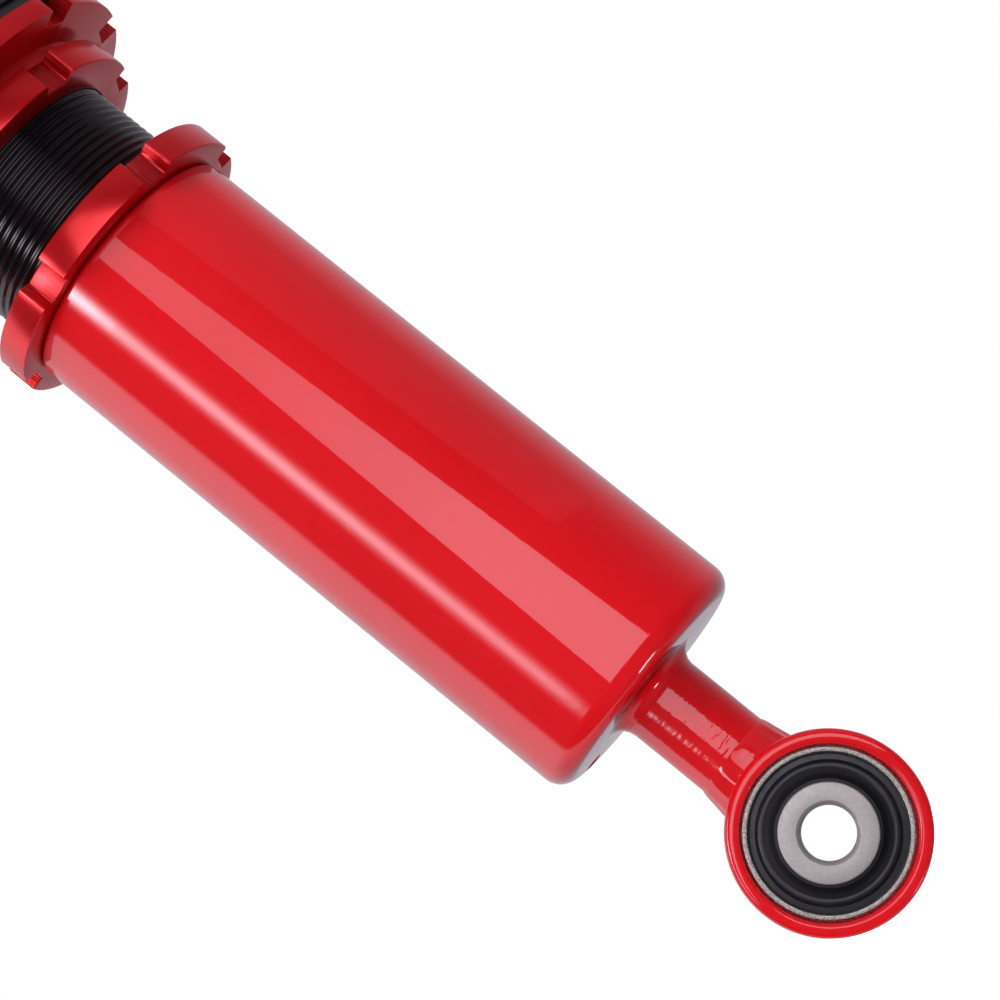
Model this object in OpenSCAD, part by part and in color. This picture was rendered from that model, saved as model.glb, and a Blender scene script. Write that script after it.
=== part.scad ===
// Full-length-adjustable coilover damper with a bushed lower eye.
// Frame: origin at the centre of the lower eye bore, +Z up the damper axis,
// +X along the eye bore. Millimetres.

/* [Lower eye and bush] */
// Outer diameter of the eye ring
eye_d = 44; // [44:0.5:50]
// Width of the eye ring along the bolt
eye_w = 30; // [26:1:32]
// Outer diameter of the pressed-in bush shell
shell_d = 37.5; // [37:0.5:38]
// Outer diameter of the inner sleeve
sleeve_d = 21.5; // [20:0.5:22]
// Length of the inner sleeve
sleeve_len = 32.5; // [32:0.5:36]
// Bore of the inner sleeve, for an M12 bolt
bolt_bore_d = 12.2; // [12.2:0.1:13]

/* [Lower bracket] */
// Height of the bracket tube's closed end above the eye centre
tube_base_z = 49.5; // [48:0.5:60]
// Length of the bracket tube
tube_len = 149.5; // [140:0.5:150]
// Outer diameter of the bracket tube
tube_d = 59; // [58:0.5:62]
// Diameter of the stem between tube and eye
stem_d = 20; // [18:1:22]

/* [Damper thread] */
// Outer diameter of the body thread
thread_d = 53; // [52:0.5:53]
// Pitch of the body thread
thread_pitch = 2; // [2:0.5:2.5]
// Depth of the body thread
thread_depth = 0.9; // [0.5:0.1:1.2]

/* [Lock rings and perch] */
// Outer diameter of a lock ring
ring_d = 69.5; // [68:0.5:74]
// Thickness of a lock ring
ring_t = 7.5; // [6:0.5:8]
// Spanner notches round a lock ring
ring_notches = 6; // [4:1:8]
// Thread left showing between the two lock rings
exposed_thread = 23.7; // [23.7:0.1:24.5]
// Outer diameter of the spring perch
perch_d = 85; // [85:0.5:92]
// Thickness of the perch flange
perch_t = 5; // [4:0.5:5]
// Spanner notches round the perch
perch_notches = 8; // [6:1:10]

/* [Spring] */
// Inner diameter of the coil spring
spring_id = 62; // [62:0.5:63]
// Diameter of the spring wire
wire_d = 13; // [10:0.5:13]
// Height of the spring between its seats
spring_len = 171.5; // [165:0.5:175]
// Turns of the spring, end coils included
spring_turns = 7; // [6:0.5:8]

/* [Top mount] */
// Outer diameter of the top plate
plate_d = 116; // [112:1:130]
// Thickness of the top plate
plate_t = 6; // [5:0.5:6]
// Circle that the studs stand on
stud_pcd = 92; // [88:1:96]
// Diameter of the studs
stud_d = 8; // [8:1:10]
// Height of the studs above the plate
stud_len = 25; // [20:1:35]
// Number of studs
stud_count = 3; // [2:1:4]

/* [Hidden] */

$fn = 96;
fit_gap = 0.05;       // radial running clearance of a thread or a shaft in its bore
rubber_gap = 0.03;    // radial clearance left between the rubber and the sleeve
eps = 0.01;           // overshoot of a cutting tool

// heights along the damper axis, from the eye centre
tube_top_z = tube_base_z + tube_len;
lower_ring_z = tube_top_z;
upper_ring_z = lower_ring_z + ring_t + exposed_thread;
hub_z = upper_ring_z + ring_t;
hub_h = 3.3;
perch_z = hub_z + hub_h;
spigot_h = 6;
perch_top_z = perch_z + perch_t;
isolator_t = 2.5;
spring_z = perch_top_z + isolator_t;
spring_top_z = spring_z + spring_len;
seat_t = 5;
seat_z = spring_top_z + isolator_t;
seat_hub_t = 14;
seat_hub_top_z = seat_z + seat_t + 3.5;
seat_hub_z = seat_hub_top_z - seat_hub_t;

body_z = tube_base_z + 30.5;
body_top_z = spring_z + 63.5;
body_bore_d = 46;
crest_r = thread_d / 2;
root_r = crest_r - thread_depth;
nut_bore_r = crest_r + fit_gap;

seal_groove_d = 2.2;  // depth of a seal ring's groove
seal_groove_h = 3;    // height of a seal ring's groove
seal_section_r = 1.05;
cylinder_bore_d = 41;
cylinder_z = body_z + 10;
free_piston_z = body_z + 42;
guide_z = body_top_z - 26;
guide_t = 16;
guide_spigot = 6;
rod_seal_r = 12;
rod_seal_t = 6;
gland_t = 10;
gland_z = body_top_z - gland_t;
gland_lip = 3;
wiper_r = 11;
wiper_depth = 4;      // how deep the wiper sits in the gland nut

shell_wall = 2;       // wall of the bush's outer shell
shell_recess = 0.8;   // depth of the shell's end under the eye's face
lower_notch_angle = -24.8;
upper_notch_angle = -18.7;
perch_notch_angle = 11.5;

rod_r = 7;
stem_r = 5;           // reduced rod end that carries the piston
threaded_end_r = 6;   // reduced rod end that carries the top mount
rod_bore_r = 2;
shoulder_z = guide_z - guide_spigot - 18;
piston_t = 18;
shim_t = 4;
piston_nut_t = 8;
piston_top_z = shoulder_z - shim_t;
piston_z = piston_top_z - piston_t;
piston_nut_z = piston_z - shim_t - piston_nut_t;
rod_bottom_z = piston_nut_z - 2;

ball_r = 13;
ball_half = 9;
ball_z = seat_hub_top_z + 7 + ball_half;
race_half = 7;
race_r = 20;
boss_r = 27;
plate_top_z = ball_z + race_half;
plate_z = plate_top_z - plate_t;
stud_shoulder_r = stud_d / 2 + 0.4; // pressed part of a stud, inside the plate
stud_angle = 90;      // place of the first stud round the axis
ball_top_z = ball_z + ball_half;
nut_z = ball_top_z + 4;
rod_nut_t = 11;
rod_top_z = nut_z + rod_nut_t + 5;
knob_z = rod_top_z + 1;
knob_h = 14;
knob_r = 8.5;

bump_len = 32;
bump_flange_h = 6;
bump_z = seat_hub_z - bump_flange_h - bump_len;
boot_collar_r = 20.5; // inside of the boot's collar, clamped on the bump stop's flange
boot_wall = 1.2;
boot_z = body_top_z - 2;
boot_top_z = seat_hub_z;

// ---------- shared shapes ----------

// ring about Z from its inner and outer radius, with chamfered outer edges
module chamfered_ring(r_in, r_out, h, c) {
    rotate_extrude()
        polygon([
            [r_in, 0], [r_out - c, 0], [r_out, c],
            [r_out, h - c], [r_out - c, h], [r_in, h]
        ]);
}

// plain ring about Z
module ring(r_in, r_out, h) {
    rotate_extrude()
        translate([r_in, 0])
            square([r_out - r_in, h]);
}

// places its children along X, turning Z into X
module along_x() {
    rotate([0, 90, 0])
        children();
}

// one flared spanner notch, cut inwards from radius r
module notch(r, depth, floor_w, mouth_w, h) {
    linear_extrude(h)
        polygon([
            [r - depth, -floor_w / 2], [r + 1, -mouth_w / 2],
            [r + 1, mouth_w / 2], [r - depth, floor_w / 2]
        ]);
}

// seal ring of round section about Z
module o_ring(r_mid, section_r, z) {
    translate([0, 0, z])
        rotate_extrude()
            translate([r_mid, 0])
                circle(section_r, $fn = 24);
}

// lock nut of the body thread with a slotted rim
module lock_ring(notch_angle) {
    chamfer = 0.6;
    depth = 3.3;
    floor_w = 6.8;
    mouth_w = 8.4;
    difference() {
        chamfered_ring(nut_bore_r, ring_d / 2, ring_t, chamfer);
        for (i = [0 : ring_notches - 1])
            rotate([0, 0, notch_angle + i * 360 / ring_notches])
                translate([0, 0, -eps])
                    notch(ring_d / 2, depth, floor_w, mouth_w, ring_t + 2 * eps);
    }
}

// hexagon nut with a round bore and chamfered corners
module hex_nut(across_flats, bore_r, h) {
    corner_r = across_flats / sqrt(3);
    difference() {
        intersection() {
            cylinder(r = corner_r, h = h, $fn = 6);
            chamfered_ring(0, corner_r - 0.1, h, 0.9);
        }
        translate([0, 0, -eps])
            cylinder(r = bore_r, h = h + 2 * eps);
    }
}

// ---------- lower bracket ----------

module bracket_tube() {
    outer_r = tube_d / 2;
    edge_r = 5;
    rim_r = 1.2;
    inner_edge_r = 3;
    end_t = 4;
    drain_r = 2.5;
    drain_at = 23;
    drain_angle = -116;
    color("red")
        difference() {
            translate([0, 0, tube_base_z])
                rotate_extrude()
                    difference() {
                        union() {
                            square([outer_r - edge_r, tube_len]);
                            translate([0, edge_r])
                                square([outer_r - rim_r, tube_len - edge_r]);
                            translate([0, edge_r])
                                square([outer_r, tube_len - edge_r - rim_r]);
                            translate([outer_r - edge_r, edge_r])
                                circle(edge_r);
                            translate([outer_r - rim_r, tube_len - rim_r])
                                circle(rim_r);
                        }
                        translate([-2 * tube_d, -eps])
                            square([2 * tube_d, 2 * tube_len]);
                        translate([0, end_t])
                            square([nut_bore_r - inner_edge_r, tube_len]);
                        translate([0, end_t + inner_edge_r])
                            square([nut_bore_r, tube_len]);
                        translate([nut_bore_r - inner_edge_r, end_t + inner_edge_r])
                            circle(inner_edge_r);
                    }
            rotate([0, 0, drain_angle])
                translate([drain_at, 0, tube_base_z - eps])
                    cylinder(r = drain_r, h = end_t + 2 * eps);
        }
}

module stem_weld() {
    foot_r = stem_d / 2 + 4.5;
    throat_r = 3.5;
    toe = 0.5;
    low_z = tube_base_z - throat_r - toe;
    color("red")
        rotate_extrude()
            difference() {
                translate([stem_d / 2, low_z])
                    square([foot_r - stem_d / 2, throat_r + toe]);
                translate([foot_r, low_z])
                    circle(throat_r);
                translate([foot_r - toe, low_z - toe])
                    square([2 * toe, throat_r + toe]);
            }
}

module eye_stem() {
    color("red")
        difference() {
            cylinder(r = stem_d / 2, h = tube_base_z);
            translate([-eye_w, 0, 0])
                along_x()
                    cylinder(r = eye_d / 2, h = 2 * eye_w);
        }
}

module eye_weld() {
    low_z = 16.5;
    height = 10;
    reach = 4;        // how far the flare's foot stands out of the stem
    bend = 1.15;      // 1 makes a cone, more makes it hollow
    steps = 8;
    flare = [
        for (k = [0 : steps])
            [stem_d / 2 + reach * pow(1 - k / steps, bend), height * k / steps]
    ];
    color("red")
        difference() {
            translate([0, 0, low_z])
                rotate_extrude()
                    polygon(concat([[stem_d / 2, 0]], flare));
            translate([-eye_w, 0, 0])
                along_x()
                    cylinder(r = eye_d / 2, h = 2 * eye_w);
        }
}

module eye_ring() {
    edge = 1.1;
    color("red")
        translate([-eye_w / 2, 0, 0])
            along_x()
                rotate_extrude()
                    polygon([
                        [shell_d / 2, edge], [shell_d / 2 + edge * 0.7, 0],
                        [eye_d / 2 - edge, 0], [eye_d / 2 - edge * 0.3, edge * 0.3],
                        [eye_d / 2, edge], [eye_d / 2, eye_w - edge],
                        [eye_d / 2 - edge * 0.3, eye_w - edge * 0.3],
                        [eye_d / 2 - edge, eye_w], [shell_d / 2 + edge * 0.7, eye_w],
                        [shell_d / 2, eye_w - edge]
                    ]);
}

module bush_shell() {
    chamfer = 0.7;
    color("silver")
        translate([-eye_w / 2 + shell_recess, 0, 0])
            along_x()
                chamfered_ring(shell_d / 2 - shell_wall, shell_d / 2, eye_w - 2 * shell_recess, chamfer);
}

module bush_rubber() {
    outer_r = shell_d / 2 - shell_wall;
    inner_r = sleeve_d / 2 + rubber_gap;
    half = eye_w / 2 - shell_recess - 0.3;
    moat = 2.4;
    groove = 1.6;
    face = [
        [inner_r, moat], [inner_r + 0.8, moat], [inner_r + 2, 0.6], [inner_r + 2.8, 0.2],
        [outer_r - 2.2, 0], [outer_r - 1.7, 0.4], [outer_r - 1.3, groove], [outer_r, groove]
    ];
    left = [for (p = face) [p[0], p[1]]];
    right = [for (i = [len(face) - 1 : -1 : 0]) [face[i][0], 2 * half - face[i][1]]];
    color("#222222")
        translate([-half, 0, 0])
            along_x()
                rotate_extrude()
                    polygon(concat(left, right));
}

module bush_sleeve() {
    outer_r = sleeve_d / 2;
    bore_r = bolt_bore_d / 2;
    edge = 0.4;
    lead = 0.7;
    color("gray")
        translate([-sleeve_len / 2, 0, 0])
            along_x()
                rotate_extrude()
                    polygon([
                        [bore_r, lead], [bore_r + lead, 0], [outer_r - edge, 0], [outer_r, edge],
                        [outer_r, sleeve_len - edge], [outer_r - edge, sleeve_len],
                        [bore_r + lead, sleeve_len], [bore_r, sleeve_len - lead]
                    ]);
}

module lower_lock_ring() {
    color("firebrick")
        translate([0, 0, lower_ring_z])
            lock_ring(lower_notch_angle);
}

// ---------- damper body ----------

module threaded_body() {
    len = body_top_z - body_z;
    bore_r = body_bore_d / 2;
    crest = thread_pitch * 0.3;
    flank = thread_pitch * 0.25;
    plain_end = 3;
    edge = 1;
    turns = floor((len - 2 * plain_end) / thread_pitch);
    groove = [
        for (i = [0 : turns - 1], k = [0 : 3])
            let (z = plain_end + i * thread_pitch)
                k == 0 ? [crest_r, z] :
                k == 1 ? [root_r, z + flank] :
                k == 2 ? [root_r, z + thread_pitch - crest - flank] :
                [crest_r, z + thread_pitch - crest]
    ];
    color("#151515")
        translate([0, 0, body_z])
            rotate_extrude()
                polygon(concat([[bore_r, 0], [root_r, 0], [crest_r, edge]], groove, [
                    [crest_r, len - edge], [root_r, len], [bore_r, len]
                ]));
}

module pressure_tube() {
    color("lightgray")
        translate([0, 0, cylinder_z])
            ring(cylinder_bore_d / 2, body_bore_d / 2 - fit_gap, guide_z - cylinder_z);
}

module base_plug() {
    outer_r = body_bore_d / 2 - fit_gap;
    spigot_r = cylinder_bore_d / 2 - fit_gap;
    flange = cylinder_z - body_z;
    groove_low = flange + 2;
    groove_high = groove_low + seal_groove_h;
    top = flange + 8;
    color("silver")
        translate([0, 0, body_z])
            rotate_extrude()
                polygon([
                    [0, 0], [outer_r, 0], [outer_r, flange], [spigot_r, flange],
                    [spigot_r, groove_low], [spigot_r - seal_groove_d, groove_low],
                    [spigot_r - seal_groove_d, groove_high], [spigot_r, groove_high],
                    [spigot_r, top], [0, top]
                ]);
}

module base_plug_seal() {
    color("black")
        o_ring(cylinder_bore_d / 2 - fit_gap - 1.1, seal_section_r, cylinder_z + 3.5);
}

module rod_guide() {
    outer_r = body_bore_d / 2 - fit_gap;
    spigot_r = cylinder_bore_d / 2 - fit_gap;
    top = guide_spigot + guide_t;
    groove_low = guide_spigot + 4;
    groove_high = groove_low + seal_groove_h;
    color("silver")
        translate([0, 0, guide_z - guide_spigot])
            rotate_extrude()
                polygon([
                    [rod_r + fit_gap, 0], [spigot_r, 0], [spigot_r, guide_spigot],
                    [outer_r, guide_spigot], [outer_r, groove_low],
                    [outer_r - seal_groove_d, groove_low], [outer_r - seal_groove_d, groove_high],
                    [outer_r, groove_high], [outer_r, top], [rod_seal_r, top],
                    [rod_seal_r, top - rod_seal_t], [rod_r + fit_gap, top - rod_seal_t]
                ]);
}

module guide_seal() {
    color("black")
        o_ring(body_bore_d / 2 - fit_gap - 1.1, seal_section_r, guide_z + 5.5);
}

module rod_seal() {
    color("black")
        translate([0, 0, guide_z + guide_t - rod_seal_t])
            ring(rod_r + fit_gap, rod_seal_r, rod_seal_t - 0.5);
}

module rod_wiper() {
    lip_z = 8.2;
    color("black")
        translate([0, 0, body_top_z - wiper_depth])
            rotate_extrude()
                polygon([
                    [rod_r + fit_gap, 0.5], [rod_r + 1, 0], [wiper_r, 0], [wiper_r, 5],
                    [rod_r + 1.6, lip_z - 0.7], [rod_r + fit_gap, lip_z]
                ]);
}

module gland_nut() {
    outer_r = body_bore_d / 2 - fit_gap;
    rod_way_r = rod_r + 0.6;
    top = gland_t + gland_lip;
    spanner_holes = 4;
    spanner_r = 2;
    spanner_at = 17.5;
    color("dimgray")
        difference() {
            translate([0, 0, gland_z])
                rotate_extrude()
                    polygon([
                        [rod_way_r, 0], [outer_r, 0], [outer_r, gland_t], [root_r, gland_t],
                        [root_r, top - 1], [root_r - 1, top], [wiper_r, top],
                        [wiper_r, gland_t - wiper_depth], [rod_way_r, gland_t - wiper_depth]
                    ]);
            for (i = [0 : spanner_holes - 1])
                rotate([0, 0, i * 360 / spanner_holes])
                    translate([spanner_at, 0, body_top_z - 2])
                        cylinder(r = spanner_r, h = gland_lip + 3, $fn = 32);
        }
}

module floating_piston() {
    outer_r = cylinder_bore_d / 2 - fit_gap;
    height = 12;
    hollow_r = 12;
    hollow = 4;
    groove_low = 4.5;
    groove_high = groove_low + seal_groove_h;
    color("silver")
        translate([0, 0, free_piston_z])
            rotate_extrude()
                polygon([
                    [0, hollow], [hollow_r, hollow], [hollow_r, 0], [outer_r, 0],
                    [outer_r, groove_low], [outer_r - seal_groove_d, groove_low],
                    [outer_r - seal_groove_d, groove_high], [outer_r, groove_high],
                    [outer_r, height], [0, height]
                ]);
}

module floating_piston_seal() {
    color("black")
        o_ring(cylinder_bore_d / 2 - fit_gap - 1.15, seal_section_r, free_piston_z + 6);
}

// ---------- spring and its seats ----------

module spring_isolator() {
    color("#1a1a1a")
        translate([0, 0, perch_top_z])
            chamfered_ring(spring_id / 2 - 0.1, perch_d / 2 - 0.5, isolator_t, 0.4);
}

module spring_perch() {
    spigot_r = spring_id / 2 - 0.4;
    hub_r = 31.5;
    edge = 1;
    notch_depth = 5;
    notch_floor = 6.8;
    notch_mouth = 7.6;
    color("firebrick")
        difference() {
            translate([0, 0, hub_z])
                rotate_extrude()
                    polygon([
                        [nut_bore_r, 0], [hub_r, 0], [hub_r, hub_h],
                        [perch_d / 2 - 0.4, hub_h], [perch_d / 2, hub_h + 0.4],
                        [perch_d / 2, hub_h + perch_t - edge],
                        [perch_d / 2 - edge, hub_h + perch_t],
                        [spigot_r, hub_h + perch_t], [spigot_r, hub_h + perch_t + spigot_h - edge],
                        [spigot_r - edge, hub_h + perch_t + spigot_h],
                        [nut_bore_r, hub_h + perch_t + spigot_h]
                    ]);
            for (i = [0 : perch_notches - 1])
                rotate([0, 0, perch_notch_angle + i * 360 / perch_notches])
                    translate([0, 0, perch_z - eps])
                        notch(perch_d / 2, notch_depth, notch_floor, notch_mouth, perch_t + 2 * eps);
        }
}

module upper_lock_ring() {
    color("firebrick")
        translate([0, 0, upper_ring_z])
            lock_ring(upper_notch_angle);
}

// height of the wire's centre after t turns: closed end coils, open middle
function coil_lift(t) =
    let (
        closed = wire_d + 0.4,
        first = 0.8,
        span = spring_len - 2 * first - 2 * closed,
        middle = spring_turns - 2
    )
    t < 1 ? first + closed * t :
    t > 1 + middle ? spring_len - first - closed * (spring_turns - t) :
    first + closed + span * (t - 1) / middle;

// height along the spring, kept between its two ground ends
function ground(h) = min(max(h, 0), spring_len);

module coil_spring() {
    steps_per_turn = 28;
    sides = 10;
    mean_r = (spring_id + wire_d) / 2;
    steps = spring_turns * steps_per_turn;
    section = [for (k = [0 : sides - 1]) (k + 0.5) * 360 / sides];
    points = [
        for (i = [0 : steps], a = section)
            let (
                turn = i * 360 / steps_per_turn,
                r = mean_r + wire_d / 2 * cos(a),
                h = coil_lift(i / steps_per_turn) + wire_d / 2 * sin(a)
            )
            [r * cos(turn), r * sin(turn), ground(h)]
    ];
    sides_faces = [
        for (i = [0 : steps - 1], k = [0 : sides - 1])
            let (
                a = i * sides + k,
                b = i * sides + (k + 1) % sides
            )
            [a, a + sides, b + sides, b]
    ];
    start_cap = [[for (k = [0 : sides - 1]) k]];
    end_cap = [[for (k = [sides - 1 : -1 : 0]) steps * sides + k]];
    color("#202020")
        translate([0, 0, spring_z])
            polyhedron(points, concat(sides_faces, start_cap, end_cap), convexity = 10);
}

module upper_isolator() {
    color("#1a1a1a")
        translate([0, 0, spring_top_z])
            chamfered_ring(spring_id / 2 - 0.1, perch_d / 2 - 0.5, isolator_t, 0.4);
}

module upper_spring_seat() {
    rim_r = perch_d / 2 + 1;
    spigot_out = spring_id / 2 - 0.4;
    spigot_in = spigot_out - 4;
    spigot_drop = isolator_t + 6;
    hub_r = 15;
    color("firebrick")
        translate([0, 0, seat_z])
            rotate_extrude()
                polygon([
                    [threaded_end_r + fit_gap, seat_hub_z - seat_z],
                    [hub_r, seat_hub_z - seat_z], [hub_r, 0],
                    [spigot_in, 0], [spigot_in, -spigot_drop],
                    [spigot_out - 0.8, -spigot_drop], [spigot_out, -spigot_drop + 0.8],
                    [spigot_out, 0], [rim_r - 0.8, 0], [rim_r, 0.8],
                    [rim_r, seat_t - 1.5], [rim_r - 1.5, seat_t], [hub_r + 5, seat_t],
                    [hub_r, seat_hub_top_z - seat_z],
                    [threaded_end_r + fit_gap, seat_hub_top_z - seat_z]
                ]);
}

// ---------- rod and piston ----------

module piston_rod() {
    step_z = seat_hub_z;
    thread_c = 0.8;
    color("gainsboro")
        rotate_extrude()
            polygon([
                [rod_bore_r, rod_bottom_z], [stem_r - 0.6, rod_bottom_z],
                [stem_r, rod_bottom_z + 0.6], [stem_r, shoulder_z],
                [rod_r, shoulder_z], [rod_r, step_z - 0.5], [rod_r - 0.5, step_z],
                [threaded_end_r, step_z], [threaded_end_r, rod_top_z - thread_c],
                [threaded_end_r - thread_c, rod_top_z], [rod_bore_r, rod_top_z]
            ]);
}

module topout_bumper() {
    color("#303030")
        translate([0, 0, shoulder_z])
            chamfered_ring(rod_r, 12, 6, 1.2);
}

// stack of thin round shims that get smaller away from the piston
module shim_stack(upwards) {
    shims = 5;
    for (i = [0 : shims - 1])
        translate([0, 0, upwards ? i * shim_t / shims : (shims - 1 - i) * shim_t / shims])
            ring(stem_r, 17 - i * 1.8, shim_t / shims);
}

module compression_shims() {
    color("silver")
        translate([0, 0, piston_top_z])
            shim_stack(true);
}

module piston() {
    ports = 6;
    port_r = 2;
    port_at = 12;
    outer_r = cylinder_bore_d / 2 - 0.5;
    band_groove = 1;
    color("lightsteelblue")
        difference() {
            translate([0, 0, piston_z])
                rotate_extrude()
                    polygon([
                        [stem_r, 0], [outer_r, 0], [outer_r, 3], [outer_r - band_groove, 3],
                        [outer_r - band_groove, 15], [outer_r, 15], [outer_r, piston_t],
                        [stem_r, piston_t]
                    ]);
            for (i = [0 : ports - 1])
                rotate([0, 0, i * 360 / ports])
                    translate([port_at, 0, piston_z - eps])
                        cylinder(r = port_r, h = piston_t + 2 * eps, $fn = 32);
        }
}

module piston_band() {
    color("saddlebrown")
        translate([0, 0, piston_z + 3])
            ring(cylinder_bore_d / 2 - 1.5, cylinder_bore_d / 2 - fit_gap, 12);
}

module rebound_shims() {
    color("silver")
        translate([0, 0, piston_z - shim_t])
            shim_stack(false);
}

module piston_nut() {
    color("gray")
        translate([0, 0, piston_nut_z])
            hex_nut(17, stem_r, piston_nut_t);
}

module bump_stop() {
    waist = 15;
    belly = 19;
    steps = 3;
    lobe = bump_len / steps;
    outline = [
        for (i = [0 : steps - 1], p = [[waist, 0], [belly, 0.3], [belly, 0.7], [waist, 1]])
            [p[0] - (i == 0 ? 2.5 : 0), (i + p[1] * 0.94 + 0.03) * lobe]
    ];
    flange = [
        [waist, bump_len], [boot_collar_r - fit_gap, bump_len],
        [boot_collar_r - fit_gap, bump_len + bump_flange_h]
    ];
    color("#2b2b2b")
        translate([0, 0, bump_z])
            rotate_extrude()
                polygon(concat(
                    [[rod_r + fit_gap, 0]], outline, flange,
                    [[rod_r + fit_gap, bump_len + bump_flange_h]]
                ));
}

module dust_boot() {
    inner_low = crest_r + 0.8;
    wall = boot_wall;
    folds = 13;
    skirt = 10;
    collar_h = bump_flange_h;
    fold_h = (boot_top_z - boot_z - skirt - collar_h) / folds;
    fold_d = 1.4;
    outer = inner_low + wall + fold_d;
    taper = function(h) h > 0.72 ? (h - 0.72) / 0.28 * (outer - boot_collar_r - wall) : 0;
    zig = [
        for (i = [0 : folds - 1], k = [0, 1])
            let (h = (i + k * 0.5) / folds)
                [outer - (k == 0 ? 0 : fold_d) - taper(h), skirt + (i + k * 0.5) * fold_h]
    ];
    top = skirt + folds * fold_h;
    outside = concat([[inner_low + wall, 0], [inner_low + wall, skirt - 2]], zig,
        [[boot_collar_r + wall, top], [boot_collar_r + wall, top + collar_h]]);
    inside = [
        for (i = [len(outside) - 1 : -1 : 0])
            [outside[i][0] - wall, outside[i][1]]
    ];
    color("#262626")
        translate([0, 0, boot_z])
            rotate_extrude()
                polygon(concat(outside, inside));
}

module boot_clip() {
    color("silver")
        translate([0, 0, boot_top_z - 4.5])
            ring(boot_collar_r + boot_wall, boot_collar_r + boot_wall + 1, 3);
}

// ---------- top mount ----------

module lower_spacer() {
    h = ball_z - ball_half - seat_hub_top_z;
    color("silver")
        translate([0, 0, seat_hub_top_z])
            rotate_extrude()
                polygon([
                    [threaded_end_r + fit_gap, 0], [11, 0], [11, 2], [9.2, h],
                    [threaded_end_r + fit_gap, h]
                ]);
}

module bearing_ball() {
    color("gainsboro")
        translate([0, 0, ball_z])
            difference() {
                intersection() {
                    sphere(ball_r);
                    translate([0, 0, -ball_half])
                        cylinder(r = ball_r + 1, h = 2 * ball_half);
                }
                translate([0, 0, -ball_r])
                    cylinder(r = threaded_end_r + fit_gap, h = 2 * ball_r);
            }
}

module upper_spacer() {
    color("silver")
        translate([0, 0, ball_top_z])
            chamfered_ring(threaded_end_r + fit_gap, 9.2, nut_z - ball_top_z, 0.5);
}

module rod_nut() {
    color("silver")
        translate([0, 0, nut_z])
            union() {
                hex_nut(19, threaded_end_r, 8.5);
                translate([0, 0, 8.5])
                    chamfered_ring(threaded_end_r, 8.4, rod_nut_t - 8.5, 0.8);
            }
}

module top_plate() {
    boss_z = ball_z - race_half - 1.5;
    race_lip = 2.5;
    circlip_z = plate_top_z + 0.2;
    boss_top_z = plate_top_z + 3;
    color("firebrick")
        difference() {
            rotate_extrude()
                polygon([
                    [race_r - race_lip, boss_z], [boss_r - 1, boss_z], [boss_r, boss_z + 1],
                    [boss_r, plate_z], [plate_d / 2 - 1, plate_z], [plate_d / 2, plate_z + 1],
                    [plate_d / 2, plate_top_z - 1], [plate_d / 2 - 1, plate_top_z],
                    [boss_r, plate_top_z], [boss_r, boss_top_z - 1], [boss_r - 1, boss_top_z],
                    [race_r, boss_top_z], [race_r, circlip_z + 1.3], [race_r + 1.2, circlip_z + 1.3],
                    [race_r + 1.2, circlip_z], [race_r, circlip_z],
                    [race_r, ball_z - race_half], [race_r - race_lip, ball_z - race_half]
                ]);
            for (i = [0 : stud_count - 1])
                rotate([0, 0, stud_angle + i * 360 / stud_count])
                    translate([stud_pcd / 2, 0, plate_z - eps])
                        cylinder(r = stud_shoulder_r, h = plate_t + 2 * eps, $fn = 48);
        }
}

module bearing_race() {
    color("dimgray")
        translate([0, 0, ball_z])
            difference() {
                translate([0, 0, -race_half])
                    cylinder(r = race_r - 0.02, h = 2 * race_half);
                sphere(ball_r + fit_gap);
            }
}

module race_circlip() {
    gap_angle = 24;
    lug_r = 2.1;
    inner = race_r - 1.8;
    color("gray")
        translate([0, 0, plate_top_z + 0.25])
            difference() {
                union() {
                    ring(inner, race_r + 1, 1.2);
                    for (s = [-1, 1])
                        rotate([0, 0, s * (gap_angle / 2 + 5)])
                            translate([inner - 0.6, 0, 0])
                                cylinder(r = lug_r, h = 1.2, $fn = 32);
                }
                for (s = [-1, 1])
                    rotate([0, 0, s * (gap_angle / 2 + 5)])
                        translate([inner - 0.6, 0, -eps])
                            cylinder(r = 0.8, h = 2, $fn = 24);
                linear_extrude(4, center = true)
                    polygon([
                        [0, 0],
                        [2 * race_r, -2 * race_r * tan(gap_angle / 2)],
                        [2 * race_r, 2 * race_r * tan(gap_angle / 2)]
                    ]);
            }
}

module mount_studs() {
    head_t = 3;
    head_r = 7;
    chamfer = 0.8;
    color("silver")
        for (i = [0 : stud_count - 1])
            rotate([0, 0, stud_angle + i * 360 / stud_count])
                translate([stud_pcd / 2, 0, plate_z - head_t])
                    rotate_extrude()
                        polygon([
                            [0, 0], [head_r - chamfer, 0], [head_r, chamfer], [head_r, head_t],
                            [stud_shoulder_r, head_t], [stud_shoulder_r, head_t + plate_t],
                            [stud_d / 2, head_t + plate_t],
                            [stud_d / 2, head_t + plate_t + stud_len - 1],
                            [stud_d / 2 - 1, head_t + plate_t + stud_len],
                            [0, head_t + plate_t + stud_len]
                        ]);
}

// ---------- damping adjuster ----------

module adjuster_knob() {
    flutes = 16;
    needle_bore_r = 1.6;
    color("firebrick")
        difference() {
            translate([0, 0, knob_z])
                chamfered_ring(0, knob_r, knob_h, 1);
            for (i = [0 : flutes - 1])
                rotate([0, 0, i * 360 / flutes])
                    translate([knob_r + 0.5, 0, knob_z - eps])
                        cylinder(r = 1.1, h = knob_h - 3, $fn = 24);
            translate([0, 0, knob_z - eps])
                cylinder(r = needle_bore_r, h = 9);
        }
}

module adjuster_needle() {
    tip_z = rod_bottom_z + 4;
    top_z = knob_z + 7;
    color("silver")
        rotate_extrude()
            polygon([
                [0, tip_z], [0.3, tip_z], [1.4, tip_z + 9], [1.4, top_z], [0, top_z]
            ]);
}

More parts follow.
